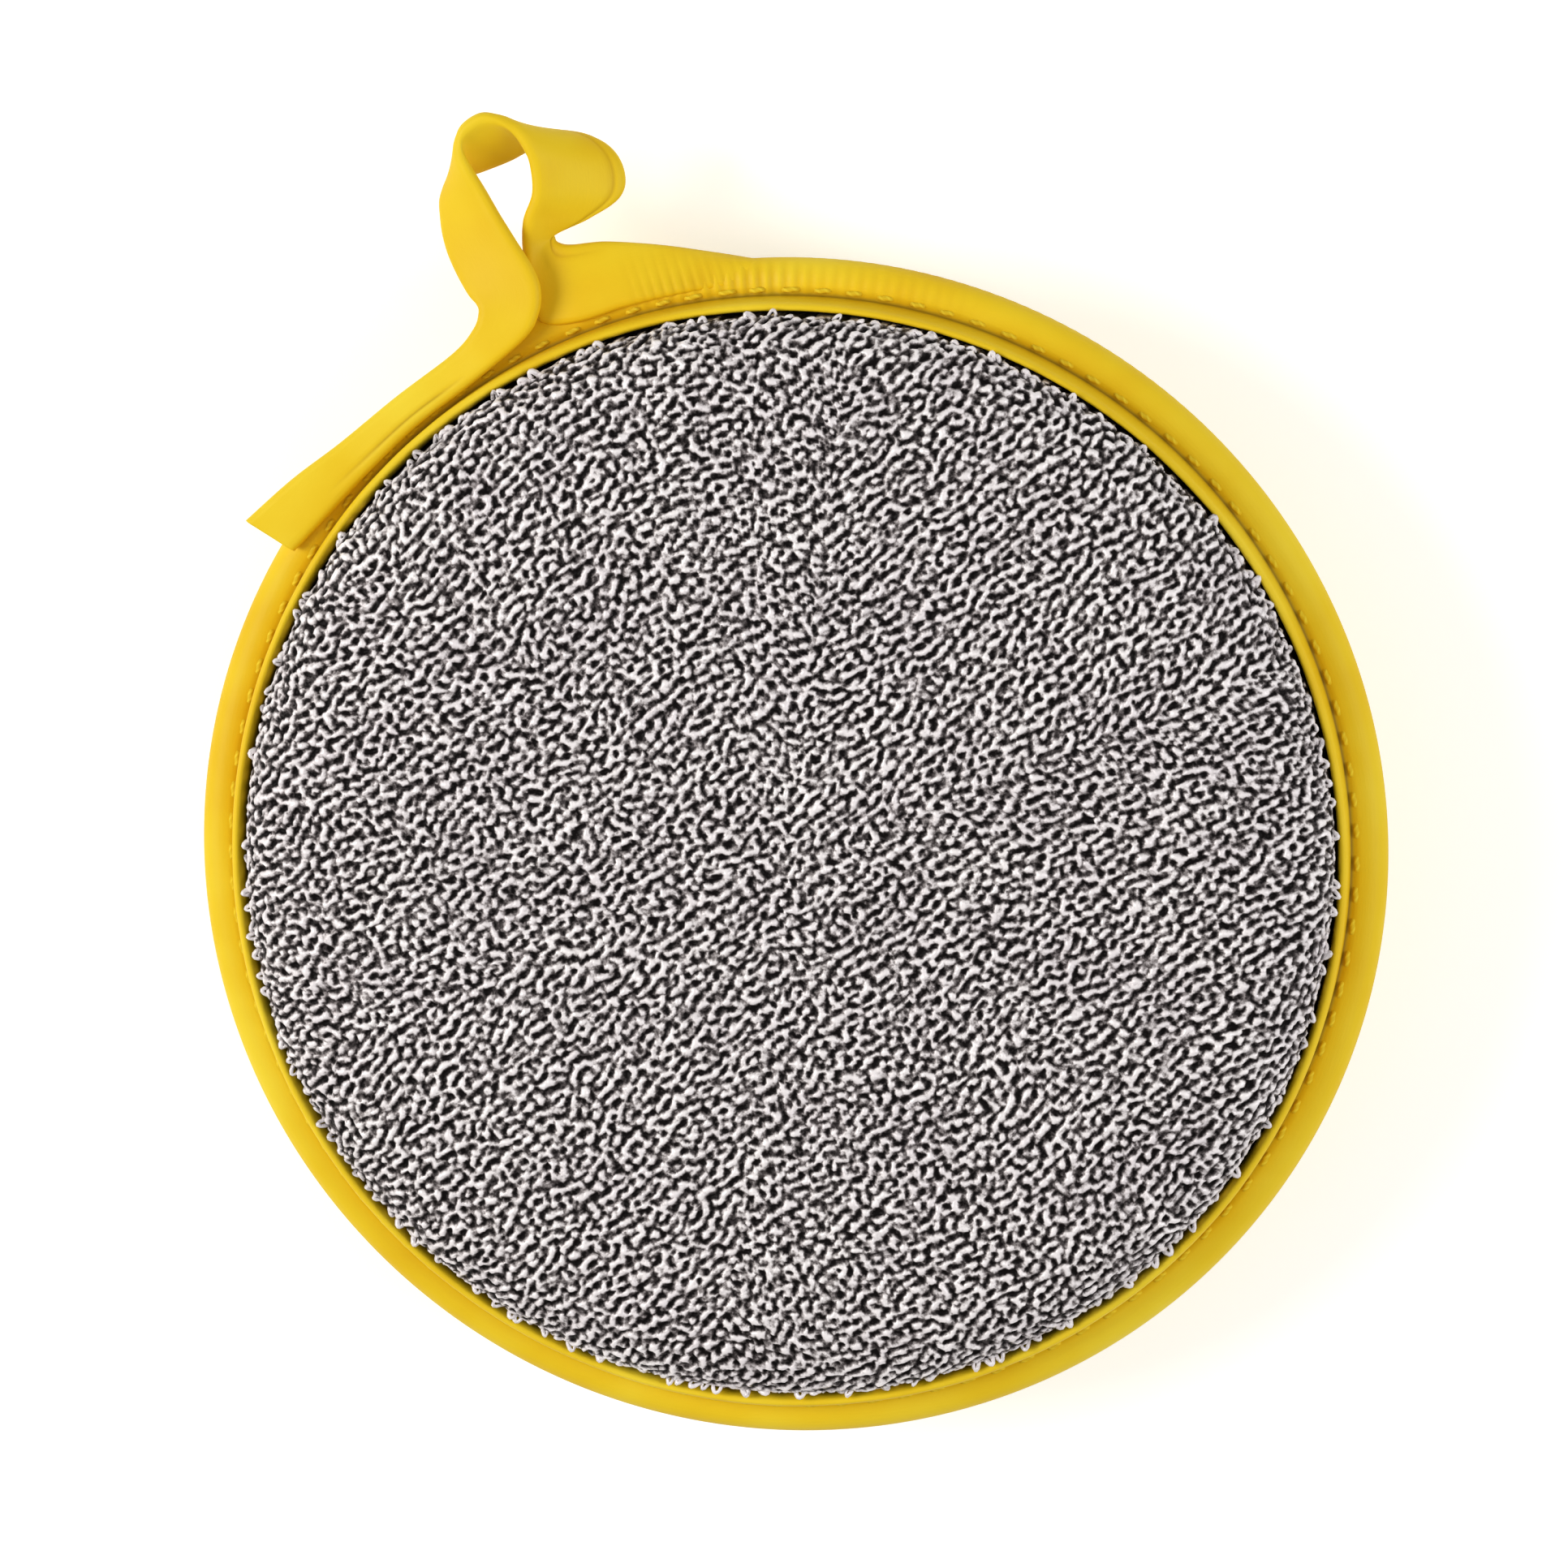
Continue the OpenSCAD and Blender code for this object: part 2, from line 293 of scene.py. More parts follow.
# The relief lifts and sinks the rings' points. It fades where the knit meets the lip.
relief_width = 2 * dome_length + 4
relief = knit_relief(relief_width, RIDGE_PERIOD, math.radians(RIDGE_LEAN), 11)
cross_relief = knit_relief(relief_width, CROSS_PERIOD, math.radians(RIDGE_LEAN + 90), 5)
lumps = slow_noise(relief_width, LUMP_PERIOD, 3)
points, yarn, drift = [[0, 0, DOME_TOP]], [0.0], [EVEN_TINT]
for ring, count in enumerate(counts[1:]):
    turn = even_turns(count)
    x, y = ring_length[ring] * np.cos(turn), ring_length[ring] * np.sin(turn)
    to_edge = dome_length - ring_length[ring]
    level = sample(relief, relief_width, x, y) + CROSS_SHARE * sample(cross_relief, relief_width, x, y)
    # Painted shade: the level drops in the last rings, which sinks the edge and darkens it into a shade
    # line along the gap to the lip.
    level -= 0.4 * np.exp(-(to_edge / 0.4) ** 2)
    lump = sample(lumps, relief_width, x, y)
    full = np.clip(to_edge / 0.8, 0.6, 1)
    lift = RIDGE_HEIGHT * full * 0.5 * np.clip(level, -1.1, 1.1) + LUMP_HEIGHT * full * lump
    lifted_r, lifted_z = ring_r[ring] - slope_z[ring] * lift, ring_z[ring] + slope_r[ring] * lift
    points += ring_of_points(lifted_r, lifted_z, turn)
    yarn += level.tolist()
    drift += (EVEN_TINT + 0.2 * lump).tolist()

# The pressed rim that goes out into the seam and back, and then the inside of the dome
for r, z in [(54.95, 17.5), (55.4, 15.3), (58.7, 15.3), (58.7, 14.5), (53.5, 14.5), (53.2, 19.5)]:
    points += ring_of_points(r, z, even_turns(RIM_POINTS))
    counts.append(RIM_POINTS)
for share in (0.93, 0.8, 0.5):
    count = int(INSIDE_POINTS * share)
    points += ring_of_points(share * INSIDE_EDGE, dome_height(share) - COVER_THICK, even_turns(count))
    counts.append(count)
points.append([0, 0, DOME_TOP - COVER_THICK])
counts.append(1)
yarn += [HIDDEN_YARN] * (len(points) - len(yarn))
drift += [EVEN_TINT] * (len(points) - len(drift))
faces = zip_rings(counts)

# Loops of yarn that stand out over the gap between the knit's edge and the lip
rng = np.random.default_rng(31)
for loop in range(EDGE_LOOPS):
    middle = 2 * math.pi * (loop + rng.uniform(-0.45, 0.45)) / EDGE_LOOPS
    half_span = rng.uniform(0.25, 0.45) / DOME_EDGE
    reach = rng.uniform(0, 1) ** 1.4
    rise = rng.uniform(0, 0.5)
    lean = rng.uniform(-0.5, 0.5)
    thick = rng.uniform(0.2, 0.3)
    bright = rng.uniform(0.4, 1.1)
    faces += tube_faces(len(points), LOOP_RINGS, LOOP_SIDES)
    for bend in np.linspace(0, math.pi, LOOP_RINGS):
        turn = middle - half_span * math.cos(bend) + lean * math.sin(bend) / DOME_EDGE
        r = DOME_EDGE - 0.35 + reach * math.sin(bend)
        z = DOME_FOOT + 0.35 + rise * math.sin(bend)
        for side in range(LOOP_SIDES):
            around = 2 * math.pi * side / LOOP_SIDES
            side_r = r + thick * math.cos(around) * math.sin(bend + 0.3)
            side_turn = turn + thick * math.cos(around) * -math.cos(bend) / DOME_EDGE
            side_z = z + thick * math.sin(around)
            points.append([side_r * math.cos(side_turn), side_r * math.sin(side_turn), side_z])
            yarn.append(bright)
            drift.append(EVEN_TINT)

silver, silver_shader = new_material("silver_knit", 0.36)
fibres = noise(silver, object_place(silver), 1900, 2, 0.55)
level_sum = add_node(silver, "ShaderNodeMath", operation="ADD")
join(silver, point_value(silver, "yarn"), level_sum.inputs[0])
join(silver, scaled(silver, fibres, 2.0, -1.0), level_sum.inputs[1])
silver_level = scaled(silver, level_sum.outputs["Value"], 0.5, 0.5)
# Painted shade: the colour darkens to near-black in the relief's hollows.
silver_colour = ramp(silver, silver_level, KNIT_COLOURS)
silver_tint = ramp(silver, point_value(silver, "drift"), KNIT_TINTS)
join(silver, multiplied(silver, silver_colour, silver_tint), silver_shader.inputs["Base Color"])
silver_shader.inputs["Metallic"].default_value = 0.15
silver_shader.inputs["Specular IOR Level"].default_value = 0.06
bump(silver, silver_shader, silver_level, 0.55, 0.0003)

scouring = make_piece("scouring_knit", points, faces, silver, {"yarn": yarn, "drift": drift})
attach(scouring, "root")
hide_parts("scouring_cover")

# Soft cover
# Cream brushed cloth, drawn over the other side of the foam. The base is flat, and the side wall
# stands in soft gathers where the round of cloth is drawn in and sewn into the seam.

BASE_FLAT = 45.1
BASE_ROUND = 4.5
WALL_LEAN = 25
WALL_END = (51.6, 7.8)
WALL_POINTS = 960
RIPPLE_WIDTH = 110
RIPPLE_PERIOD = 5
RIPPLE_EDGE = 43
GATHERS = 76
FINE_GATHERS = 26
NO_GATHER_SHADE = 0.5

# Three stretches of the rim are gathered closely: where they start, in degrees clockwise from the
# loop, and how far they go
STRETCH_STARTS = (20, 140, 260)
STRETCH_SPAN = 54

CREAM_CLOUDS = [(0.3, (0.87, 0.86, 0.68)), (0.7, (0.93, 0.925, 0.79))]
# Painted shade in the gathers' folds, from the deepest fold up to none
CREAM_FOLDS = [(0.1, (0.86, 0.85, 0.7)), (0.5, (1, 1, 1))]

# Radius and height of the wall, from the base's edge up to the pressed rim
side_line = []
for a in np.radians(np.linspace(0, 90 - WALL_LEAN, 9)):
    side_line.append((BASE_FLAT + BASE_ROUND * math.sin(a), BASE_ROUND - BASE_ROUND * math.cos(a)))
foot_r, foot_z = side_line[-1]
for t in np.linspace(0, 1, 10)[1:]:
    side_line.append((foot_r + (WALL_END[0] - foot_r) * t, foot_z + (WALL_END[1] - foot_z) * t))
wall_last = len(side_line) - 1
side_line += [(51.7, 8.9), (53.6, 9.6), (56.6, 11.4), (58.3, 13.4), (58.7, 14.3)]

rng = np.random.default_rng(21)
gather_turn = even_turns(GATHERS) + rng.uniform(-0.035, 0.035, GATHERS)
gather_wide = rng.uniform(0.008, 0.016, GATHERS)
gather_deep = rng.uniform(0.12, 0.5, GATHERS)
gather_reach = rng.uniform(0.5, 1.3, GATHERS)
gather_slant = rng.uniform(-0.02, 0.03, GATHERS)
for start in STRETCH_STARTS:
    away = 24 * np.clip(rng.standard_normal(FINE_GATHERS), -1.4, 1.4) / 1.4
    fine_turn = np.radians(90 - (start + STRETCH_SPAN / 2 + away))
    gather_turn = np.concatenate([gather_turn, fine_turn])
    gather_wide = np.concatenate([gather_wide, rng.uniform(0.005, 0.009, FINE_GATHERS)])
    gather_deep = np.concatenate([gather_deep, rng.uniform(0.12, 0.42, FINE_GATHERS)])
    gather_reach = np.concatenate([gather_reach, rng.uniform(0.6, 1.2, FINE_GATHERS)])
    gather_slant = np.concatenate([gather_slant, rng.uniform(0.0, 0.07, FINE_GATHERS)])
all_gathers = list(zip(gather_turn, gather_wide, gather_deep, gather_reach, gather_slant))

# The flat base with its slight ripples, then the gathered wall and the rim above it, then the inside
ripple = slow_noise(RIPPLE_WIDTH, RIPPLE_PERIOD, 8)
points, counts, gather_shade = [[0, 0, 0.02]], [1], [NO_GATHER_SHADE]
base_rings = [(4, 96), (9, 96), (15, 96), (21, 96), (27, 96), (33, 96), (38, 240), (42, 240),
              (44, WALL_POINTS), (BASE_FLAT - 0.3, WALL_POINTS)]
for r, count in base_rings:
    turn = even_turns(count)
    dip = 0.03 + 0.03 * np.clip(sample(ripple, RIPPLE_WIDTH, r * np.cos(turn), r * np.sin(turn)), -1, 1)
    points += ring_of_points(r, dip * (r < RIPPLE_EDGE), turn)
    counts.append(count)
    gather_shade += [NO_GATHER_SHADE] * count
turn = even_turns(WALL_POINTS)
for step, (r, z) in enumerate(side_line):
    climb = min(1.0, step / wall_last)
    fold = np.zeros(WALL_POINTS)
    for at, wide, deep, far, slant in all_gathers:
        away = (turn - at - slant * (1 - climb) + math.pi) % (2 * math.pi) - math.pi
        reach = np.clip((climb - 1 + far) / far, 0, 1) ** 1.3
        fold += deep * reach * np.exp(-(away / wide) ** 2)
    across_y = 50 * np.sin(turn) * (0.9 + 0.1 * climb)
    swell = 0.25 * climb * sample(ripple, RIPPLE_WIDTH, 50 * np.cos(turn), across_y)
    free = 1.0 if step <= wall_last else 0.2
    wall_r = r - free * (fold - np.clip(swell, -0.4, 0.3) * (0 < step < wall_last))
    points += ring_of_points(wall_r, z, turn)
    counts.append(WALL_POINTS)
    # Painted shade: the cloth is darker in each gather's fold, as deep as the fold goes.
    gather_shade += (NO_GATHER_SHADE - 0.6 * free * fold).tolist()
for r, z, count in [(56.5, 14.3, WALL_POINTS), (54.5, 12.8, WALL_POINTS), (51.5, 10.4, WALL_POINTS),
                    (48.5, 3.8, 240), (45.5, 1.4, 240)]:
    points += ring_of_points(r, z, even_turns(count))
    counts.append(count)
    gather_shade += [NO_GATHER_SHADE] * count
points.append([0, 0, 1.3])
counts.append(1)
gather_shade.append(NO_GATHER_SHADE)

cream, cream_shader = new_material("brushed_cream_cloth", 0.82)
cream_place = object_place(cream)
cream_colour = ramp(cream, noise(cream, cream_place, 70, 3, 0.55), CREAM_CLOUDS)
cream_shade = ramp(cream, point_value(cream, "gather_shade"), CREAM_FOLDS)
join(cream, multiplied(cream, cream_colour, cream_shade), cream_shader.inputs["Base Color"])
cream_shader.inputs["Sheen Weight"].default_value = 0.25
cream_shader.inputs["Sheen Roughness"].default_value = 0.5
bump(cream, cream_shader, noise(cream, cream_place, 1500, 4, 0.65), 0.5, 0.0004)

soft_faces = [face[::-1] for face in zip_rings(counts)]
soft = make_piece("soft_side", points, soft_faces, cream, {"gather_shade": gather_shade})
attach(soft, "root")
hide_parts("soft_cover")

# Edge tape
# One woven polyester strip, folded over both covers' rims and sewn through. It stands up as a lip
# round the scouring side and turns under as a gathered skirt. Where its ends meet, the last of it
# turns out of the seam, makes the hanging loop and lies back beside the rim as a free tail.

# The belly is the rolled band below the seam, and the land is the flat between it and the lip. The
# lip leans inwards most at 60 degrees clockwise from the loop.
TAPE_RADIUS = 60.0
SEAM_LEVEL = 16.3
BELLY_LEVEL = 14.4
BELLY_MIDDLE = 51.7
BELLY_WIDE = 8.3
BELLY_DEEP = 6.6
LAND_INNER = 56.35
LIP_FOOT = 16
LIP_LEAN = 0.4
LIP_LEAN_AT = 60
SECTIONS = 2200
PUCKERS = 282
STRAP_STEPS = 14
STRAP_WEAVE_FROM = 60
RIB_PERIOD = 1.05

YELLOW_CLOUDS = [
    (0.28, (0.79, 0.475, 0.006)), (0.48, (0.84, 0.57, 0.013)), (0.74, (0.89, 0.675, 0.036))]
# Painted shade in creases, puckers, hems and ribs, from none to the darkest
YELLOW_FOLDS = [(0.0, (1, 1, 1)), (0.45, (0.84, 0.77, 0.55)), (1.0, (0.42, 0.36, 0.12))]

clock = even_turns(SECTIONS)


def wander_round(rng, reach):
    """A level that wanders round the rim and closes on itself, evened out over reach sections."""
    steps = np.tile(rng.standard_normal(SECTIONS), 3)
    return np.convolve(steps, np.hanning(2 * reach + 1) / reach, "same")[SECTIONS:2 * SECTIONS]


def stretch(start, end):
    """0 outside a stretch of the rim, given in degrees clockwise from the loop, and 1 at its middle."""
    a = ((np.degrees(clock) - start) % 360) / (end - start)
    return np.where(a < 1, np.sin(np.clip(a, 0, 1) * math.pi) ** 0.8, 0)


# Radius and level of each point of the section, and how far it follows the skirt's gathers, the
# land's puckers and the lip's slow wave
profile = [(51.75, 8.35, 0.2, 0, 0), (52.1, 7.9, 0.6, 0, 0)]
for a in np.radians([84, 72, 60, 48, 36, 24, 12, 0]):
    r, z = BELLY_MIDDLE + BELLY_WIDE * math.cos(a), BELLY_LEVEL - BELLY_DEEP * math.sin(a)
    profile.append((r, z, math.sin(a) ** 1.5, 0, 0))
profile += [
    (59.8, 15.1, 0, 0.1, 0), (59.45, 15.6, 0, 0.35, 0), (58.85, 16.05, 0, 0.8, 0),
    (58.15, 16.28, 0, 1, 0), (57.4, 16.32, 0, 0.9, 0), (56.8, 16.15, 0, 0.5, 0),
    (LAND_INNER, 15.9, 0, 0.05, 0), (56.3, 16.8, 0, 0, 0.3), (56.42, 17.8, 0, 0, 0.7),
    (56.5, 18.8, 0, 0, 1), (56.46, 19.6, 0, 0, 1), (56.28, 20.08, 0, 0, 1),
    (55.98, 20.25, 0, 0, 1), (55.66, 20.0, 0, 0, 0.8), (55.36, 19.2, 0, 0, 0.4),
    (55.12, 17.6, 0, 0, 0.1), (55.4, 15.45, 0, 0, 0), (57.5, 15.42, 0, 0, 0),
    (59, 15.4, 0, 0, 0), (59.1, 14.4, 0, 0, 0), (58, 11.5, 0, 0, 0),
    (55.6, 9.8, 0, 0, 0), (53, 8.95, 0, 0, 0),
]
profile = np.array(profile)
section = profile[:, :2]
skirt_part, land_part, lip_part = profile[:, 2], profile[:, 3], profile[:, 4]
tangent = np.roll(section, -1, 0) - np.roll(section, 1, 0)
outward = np.stack([tangent[:, 1], -tangent[:, 0]], 1)
outward /= np.linalg.norm(outward, axis=1)[:, None]
across = np.concatenate([[0], np.cumsum(np.linalg.norm(np.diff(section, axis=0), axis=1))])
from_lip_foot = (section[:, 0] - LAND_INNER) ** 2 + (section[:, 1] - LIP_FOOT) ** 2
foot_shade = 1.1 * np.exp(-from_lip_foot / 0.2)

rng = np.random.default_rng(4)
wander = wander_round(rng, 20)
wander_slow = wander_round(rng, 80)
pucker = 0.5 - 0.5 * np.cos(PUCKERS * clock + 2.6 * wander_slow + 0.7 * wander)
skirt_depth = 0.04 + 0.34 * sum(stretch(start, start + STRETCH_SPAN) for start in STRETCH_STARTS)
skirt_depth *= 0.8 + 0.5 * np.clip(wander_slow, -1, 1)
land_depth = 0.24 * stretch(5, 26) + 0.12 * stretch(16, 42)
land_depth *= 0.8 + 0.5 * np.clip(wander, -1, 1)
lip_wave = 0.10 * wander_slow + 0.05 * wander

points, weave_u, weave_v, crease = [], [], [], []
for i in range(SECTIONS):
    depth = (skirt_part * skirt_depth[i] + land_part * land_depth[i]) * pucker[i]
    out = -depth + lip_part * lip_wave[i] + 0.06 * wander_slow[i] * skirt_part
    moved = section + outward * out[:, None]
    moved[:, 1] += 0.12 * lip_part * wander_slow[i]
    moved[:, 0] -= LIP_LEAN * lip_part * max(0, math.cos(clock[i] - math.radians(LIP_LEAN_AT)))
    s, c = math.sin(clock[i]), math.cos(clock[i])
    points += np.stack([moved[:, 0] * s, moved[:, 0] * c, moved[:, 1]], 1).tolist()
    weave_u += [clock[i] * TAPE_RADIUS] * len(section)
    weave_v += across.tolist()
    # Painted shade: darker the deeper each pucker or gather, and in the crease at the lip's foot.
    crease += (1.6 * depth + foot_shade).tolist()
faces = []
for i in range(SECTIONS):
    here, there = i * len(section), (i + 1) % SECTIONS * len(section)
    for j in range(len(section)):
        beside = (j + 1) % len(section)
        faces.append((here + j, here + beside, there + beside, there + j))

# The strap that makes the loop and the tail: its near edge, its far edge and its thickness, each
# place given along the rim, out from the widest line and up from the seam
strap_route = [
    ((22, -2.3, -0.9), (20.5, -0.5, -3), 0.45), ((16.5, -2.4, -0.2), (15.4, 0.9, -2.9), 1.05),
    ((11.2, -2.5, 0.1), (10.5, 2.6, -2.6), 1.35), ((6.4, -2.5, 0.3), (6, 4.2, -2.2), 1.5),
    ((1, -2.4, 0.3), (3.1, 5, -1.5), 1.5), ((-2.6, -1, -0.4), (2.1, 5.5, -1.5), 1.5),
    ((-2.3, 2.5, -0.9), (1.7, 6.1, -1.8), 1.5), ((-1.4, 6.2, -0.8), (2.2, 6.8, -2.5), 1.5),
    ((-0.2, 9.1, -0.2), (5.7, 7.1, -3.2), 1.5), ((1.5, 11.4, 0.3), (8.6, 8.4, -3.6), 1.5),
    ((2.2, 14, 0.6), (9.1, 11.2, -4), 1.5), ((2.3, 15.9, 0.9), (7.9, 13.6, -4.5), 1.5),
    ((2.1, 17.9, 1.1), (5.5, 15.1, -4.9), 1.5), ((1.4, 19.6, 1.1), (2.9, 15.4, -5), 1.5),
    ((0.1, 20.7, 1), (0.3, 15, -5), 1.5), ((-1.6, 20.2, 0.9), (-2.2, 15.1, -4.9), 1.5),
    ((-2.4, 18.5, 0.9), (-4.3, 15.4, -4.7), 1.5), ((-2.3, 16.2, 0.9), (-6, 14.3, -4.1), 1.5),
    ((-2, 13.6, 0.9), (-7, 12.1, -3.5), 1.5), ((-1.7, 10.8, 1.1), (-7.6, 9.7, -2.7), 1.5),
    ((-1.3, 8, 1.3), (-7.8, 7.2, -1.7), 1.5), ((-0.8, 4.8, 1.6), (-7.7, 4.8, -0.4), 1.5),
    ((-0.9, 2.3, 1.8), (-7.4, 3.6, 0.3), 1.5), ((-2.1, 0.1, 1.8), (-7.6, 2.8, 0.6), 1.5),
    ((-4.6, -1.6, 1.6), (-8.8, 1.7, 0.7), 1.5),
]
for s in (0.1, 0.35, 0.6, 0.8, 1):
    flare = max(0, s - 0.4) / 0.6
    along, out = -9 - 29 * s, -2.9 + 1.4 * flare ** 3
    wide = 3.6 + 2.2 * (3 - 2 * flare) * flare ** 2
    strap_route.append(((along, out, 1), (along, out + wide, 0.4), 1.5))


def from_loop_foot(place):
    along, out, up = place
    a = along / TAPE_RADIUS
    return ((TAPE_RADIUS + out) * math.sin(a), (TAPE_RADIUS + out) * math.cos(a), SEAM_LEVEL + up)


def smooth_line(stations):
    """Points on a Catmull-Rom line through stations."""
    stations = np.asarray(stations, dtype=float)
    held = np.concatenate([stations[:1], stations, stations[-1:]])
    line = []
    for i in range(len(stations) - 1):
        a, b, c, d = held[i:i + 4]
        for s in np.arange(STRAP_STEPS) / STRAP_STEPS:
            curve = 2 * a - 5 * b + 4 * c - d + s * (3 * b - a - 3 * c + d)
            line.append(b + 0.5 * s * (c - a + s * curve))
    line.append(stations[-1])
    return np.array(line)


def there_and_back(values):
    """Values over the strap's upper face, and back over its under face without the edges."""
    return list(values) + list(values)[1:-1][::-1]


near_line = smooth_line([from_loop_foot(near) for near, far, thick in strap_route])
far_line = smooth_line([from_loop_foot(far) for near, far, thick in strap_route])
thick_line = smooth_line([[thick] for near, far, thick in strap_route])[:, 0]
middle_line = (near_line + far_line) / 2
ahead = np.gradient(middle_line, axis=0)
ahead /= np.linalg.norm(ahead, axis=1)[:, None]
run = np.concatenate([[0], np.cumsum(np.linalg.norm(np.diff(middle_line, axis=0), axis=1))])
root_end, loop_top, tail_from = run[3 * STRAP_STEPS], run[13 * STRAP_STEPS], run[25 * STRAP_STEPS]

# Places across the strap, as shares of its width, closest where its hems are pressed in
flat_places = np.array([0, 0.03, 0.09, 0.17, 0.24, 0.3, 0.36, 0.45, 0.56, 0.68,
                        0.77, 0.82, 0.85, 0.88, 0.94, 0.98, 1])
strap_start = len(points)
for i in range(len(near_line)):
    near, far, thick = near_line[i], far_line[i], thick_line[i]
    cross = near - far
    width = np.linalg.norm(cross)
    cross /= width
    face = np.cross(ahead[i], cross)
    face /= np.linalg.norm(face)
    edge = 0.5 * thick / width

    up_the_loop = min(1, max(0, (run[i] - root_end) / (loop_top - root_end)))
    on_loop = 0.7 * math.sin(math.pi * up_the_loop) ** 0.8
    on_tail = min(1, max(0, (run[i] - tail_from) / 4)) * min(1, max(0, (tail_from + 19 - run[i]) / 8))
    on_root = math.sin(math.pi * min(1, run[i] / root_end)) ** 0.8
    hems = (on_loop * np.exp(-((flat_places - 0.85) / 0.025) ** 2)
            + 0.95 * on_tail * np.exp(-((flat_places - 0.3) / 0.035) ** 2))
    rib_wave = 0.5 - 0.5 * math.cos(2 * math.pi * run[i] / RIB_PERIOD)
    ribs = on_root * np.exp(-(flat_places / 0.55) ** 2) * rib_wave
    wave = 0.06 * math.sin(run[i] * 0.55) + 1.1 * max(0, 1 - run[i] / root_end) ** 1.2

    upper, under = [], []
    for p, hem, rib in zip(flat_places, hems, ribs):
        from_edge = 1 - min(1, min(p, 1 - p) / edge)
        half = 0.44 * thick * math.sqrt(max(0.0, 1 - from_edge ** 2))
        at = near + (far - near) * p
        bow = wave * math.sin(p * math.pi)
        upper_dent = (half > 0) * (0.16 * thick * hem + 0.32 * rib)
        under_dent = (half > 0) * 0.05 * thick * hem
        upper.append(at + face * (half - upper_dent + bow))
        under.append(at - face * (half - under_dent - bow))
    ring = upper + under[1:-1][::-1]
    points += [place.tolist() for place in ring]
    weave_u += [STRAP_WEAVE_FROM + run[i]] * len(ring)
    weave_v += there_and_back(flat_places * width)
    # Painted shade along the pressed hems and in the hollows between the ribs.
    crease += there_and_back(0.7 * hems + 0.4 * ribs)
ring_points = len(ring)
for i in range(len(near_line) - 1):
    for j in range(ring_points):
        a = strap_start + i * ring_points + j
        b = strap_start + i * ring_points + (j + 1) % ring_points
        faces.append((a, a + ring_points, b + ring_points, b))
last_ring = strap_start + (len(near_line) - 1) * ring_points
faces.append(tuple(range(strap_start, strap_start + ring_points)))
faces.append(tuple(range(last_ring, last_ring + ring_points))[::-1])

yellow, yellow_shader = new_material("yellow_tape", 0.5)
yellow_colour = ramp(yellow, noise(yellow, object_place(yellow), 45, 3, 0.6), YELLOW_CLOUDS)
yellow_shade = ramp(yellow, point_value(yellow, "crease"), YELLOW_FOLDS)
join(yellow, multiplied(yellow, yellow_colour, yellow_shade), yellow_shader.inputs["Base Color"])
yellow_shader.inputs["Specular IOR Level"].default_value = 0.16
weave_place = add_node(yellow, "ShaderNodeCombineXYZ")
join(yellow, point_value(yellow, "weave_u"), weave_place.inputs["X"])
join(yellow, point_value(yellow, "weave_v"), weave_place.inputs["Y"])
yarn_place = add_node(yellow, "ShaderNodeMapping")
yarn_place.inputs["Scale"].default_value = (0.5, 4.5, 1)
join(yellow, weave_place.outputs["Vector"], yarn_place.inputs["Vector"])
tape_yarns = noise(yellow, yarn_place.outputs["Vector"], 1.0, 3, 0.6)
bump(yellow, yellow_shader, tape_yarns, 0.12, 0.0002)

tape_values = {"weave_u": weave_u, "weave_v": weave_v, "crease": crease}
tape = make_piece("edge_tape_cloth", points, faces, yellow, tape_values)
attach(tape, "root")
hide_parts("edge_tape")

# Seam thread
# Polyester sewing thread, run through tape and rims in one row of stitches. Each stitch lies a
# little sunk in the cloth just outside the lip.

STITCH_RADIUS = 56.97
STITCH_PITCH = 3.2
STITCH_RINGS = 15
STITCH_SIDES = 10
THREAD_RADIUS = 0.27
PLY_TWIST = 7
# Painted shade in the grooves between the thread's plies, from groove to crest
THREAD_COLOURS = [(0.0, (0.74, 0.51, 0.014)), (1.0, (0.84, 0.63, 0.03))]

stitch_total = int(2 * math.pi * STITCH_RADIUS / STITCH_PITCH)
points, faces, ply_groove_shade = [], [], []
rng = np.random.default_rng(9)
for stitch in range(stitch_total):
    centre = 2 * math.pi * stitch / stitch_total + rng.uniform(-0.002, 0.002)
    slant = 0.12 + rng.uniform(-0.05, 0.05)
    length = 1.95 + rng.uniform(-0.15, 0.15)
    faces += tube_faces(len(points), STITCH_RINGS, STITCH_SIDES)
    for s in np.linspace(-1, 1, STITCH_RINGS):
        thick = THREAD_RADIUS * math.sqrt(max(0.02, 1 - abs(s) ** 3.2))
        sink = -0.08 - 0.34 * abs(s) ** 4
        turn = centre + s * length / 2 / STITCH_RADIUS
        r = STITCH_RADIUS + slant * s * length / 4
        for side in range(STITCH_SIDES):
            around = 2 * math.pi * side / STITCH_SIDES
            ply = math.cos(2 * around - s * PLY_TWIST)
            side_r = r + thick * (1 + 0.10 * ply) * math.cos(around)
            side_z = SEAM_LEVEL + sink + thick * (1 + 0.10 * ply) * math.sin(around)
            points.append((side_r * math.sin(turn), side_r * math.cos(turn), side_z))
            # Painted shade: the level that darkens the grooves between the plies.
            ply_groove_shade.append(ply)

thread, thread_shader = new_material("yellow_thread", 0.7)
thread_colour = ramp(thread, point_value(thread, "ply_shade"), THREAD_COLOURS)
join(thread, thread_colour, thread_shader.inputs["Base Color"])
thread_shader.inputs["Specular IOR Level"].default_value = 0.2
bump(thread, thread_shader, noise(thread, object_place(thread), 5000, 2, 0.5), 0.3, 0.0001)

stitches = make_piece("seam_stitches", points, faces, thread, {"ply_shade": ply_groove_shade})
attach(stitches, "root")
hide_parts("seam_thread")

# Floor, lamps and camera
# The sponge lies on its soft side on a plain pale floor. The camera looks down on it through a long
# lens, from a little to the loop's side and to the right. Soft light comes from the left and right.

